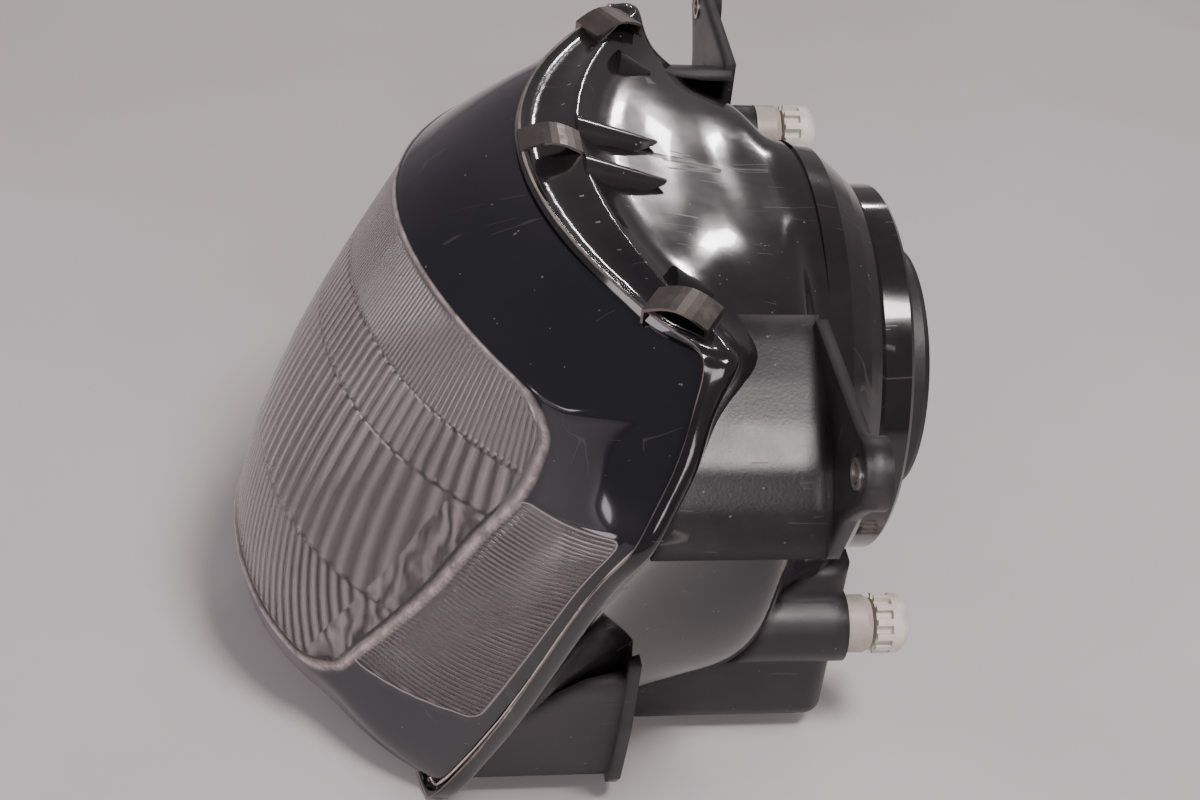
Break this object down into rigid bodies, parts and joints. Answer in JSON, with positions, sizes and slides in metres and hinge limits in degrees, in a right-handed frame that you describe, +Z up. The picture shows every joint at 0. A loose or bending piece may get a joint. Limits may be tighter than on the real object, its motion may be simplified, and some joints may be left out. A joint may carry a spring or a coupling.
{
  "type": "motorcycle headlight",
  "caption": "Wide fluted-lens motorcycle headlight with black moulded housing, side mounting arms, two aim adjusters, aimable reflector with bulb, and a round rubber rear cap",
  "frame": {"origin": "midway between the two upper lug holes, level with the lugs' front faces; the lugs' rear faces, 8 mm behind it, sit on the stay", "axes": "+X to the rider's left, +Y to the rear (the light shines to -Y), +Z up"},
  "size_m": [0.32, 0.2472, 0.2194],
  "materials": {
    "front_lens": "fluted",
    "housing_bowl": "gloss black",
    "housing_stiffeners": "gloss black",
    "lens_seal": "matt",
    "spring_clips": "dull, dusty",
    "left_arm": "scuffed satin black",
    "right_arm": "scuffed satin black",
    "lug_sleeves": "bare",
    "left_lower_bracket": "scuffed satin black",
    "right_lower_bracket": "scuffed satin black",
    "adjuster_tower": "satin black",
    "far_adjuster_boss": "satin black",
    "vertical_hub": "natural nylon",
    "vertical_knob": "natural nylon",
    "vertical_screw": "zinc",
    "vertical_nut": "natural nylon",
    "horizontal_hub": "natural nylon",
    "horizontal_knob": "natural nylon",
    "horizontal_screw": "zinc",
    "horizontal_nut": "natural nylon",
    "pivot_stud": "zinc",
    "pivot_socket": "natural nylon",
    "reflector": "bright aluminised",
    "bulb_glass": "clear",
    "bulb_shade": "bare",
    "bulb_filaments": "bare",
    "bulb_flange": "bright",
    "bulb_plug": "matt",
    "bulb_terminals": "bare",
    "bulb_retainer": "spring wire",
    "retainer_bracket": "zinc",
    "dust_cap": "matt"
  },
  "bodies": {
    "shell": {"front_lens": "front_lens", "housing_bowl": "housing_bowl", "housing_stiffeners": "housing_stiffeners", "lens_seal": "lens_seal", "spring_clips": "spring_clips", "left_arm": "left_arm", "right_arm": "right_arm", "lug_sleeves": "lug_sleeves", "left_lower_bracket": "left_lower_bracket", "right_lower_bracket": "right_lower_bracket", "adjuster_tower": "adjuster_tower", "far_adjuster_boss": "far_adjuster_boss", "vertical_hub": "vertical_hub", "horizontal_hub": "horizontal_hub", "pivot_stud": "pivot_stud"},
    "cap": {"dust_cap": "dust_cap"},
    "vertical_adjuster": {"vertical_knob": "vertical_knob", "vertical_screw": "vertical_screw"},
    "horizontal_adjuster": {"horizontal_knob": "horizontal_knob", "horizontal_screw": "horizontal_screw"},
    "nut_carriage": {"vertical_nut": "vertical_nut"},
    "optic": {"reflector": "reflector", "horizontal_nut": "horizontal_nut", "pivot_socket": "pivot_socket", "bulb_glass": "bulb_glass", "bulb_shade": "bulb_shade", "bulb_filaments": "bulb_filaments", "bulb_flange": "bulb_flange", "bulb_plug": "bulb_plug", "bulb_terminals": "bulb_terminals", "retainer_bracket": "retainer_bracket"},
    "retainer": {"bulb_retainer": "bulb_retainer"}
  },
  "joints": [
    {"name": "vertical_screw_turn", "type": "hinge", "parent": "shell", "child": "vertical_adjuster", "pos_m": [0.068, 0.0475, -0.139], "axis": [0, 1, 0], "range_deg": [-1440, 1440]},
    {"name": "horizontal_screw_turn", "type": "hinge", "parent": "shell", "child": "horizontal_adjuster", "pos_m": [-0.078, 0.0235, -0.018], "axis": [0, 1, 0], "range_deg": [-1800, 1800]},
    {"name": "aim_vertical", "type": "hinge", "parent": "shell", "child": "nut_carriage", "pos_m": [0.078, -0.03, -0.018], "axis": [1, 0, 0], "range_deg": [-2.39, 2.39]},
    {"name": "aim_horizontal", "type": "hinge", "parent": "nut_carriage", "child": "optic", "pos_m": [0.078, -0.03, -0.018], "axis": [0.0824, 0, 0.9966], "range_deg": [-2.32, 2.32]},
    {"name": "retainer_swing", "type": "hinge", "parent": "optic", "child": "retainer", "pos_m": [0, 0.0235, -0.045], "axis": [1, 0, 0], "range_deg": [0, 35]},
    {"name": "cap_pull", "type": "slide", "parent": "shell", "child": "cap", "axis": [0, 1, 0], "range_m": [0, 0.03]}
  ],
  "couplings": [
    {"joint": "aim_vertical", "follows": "vertical_screw_turn", "ratio": 0.0016442},
    {"joint": "aim_horizontal", "follows": "horizontal_screw_turn", "ratio": 0.0012796}
  ]
}
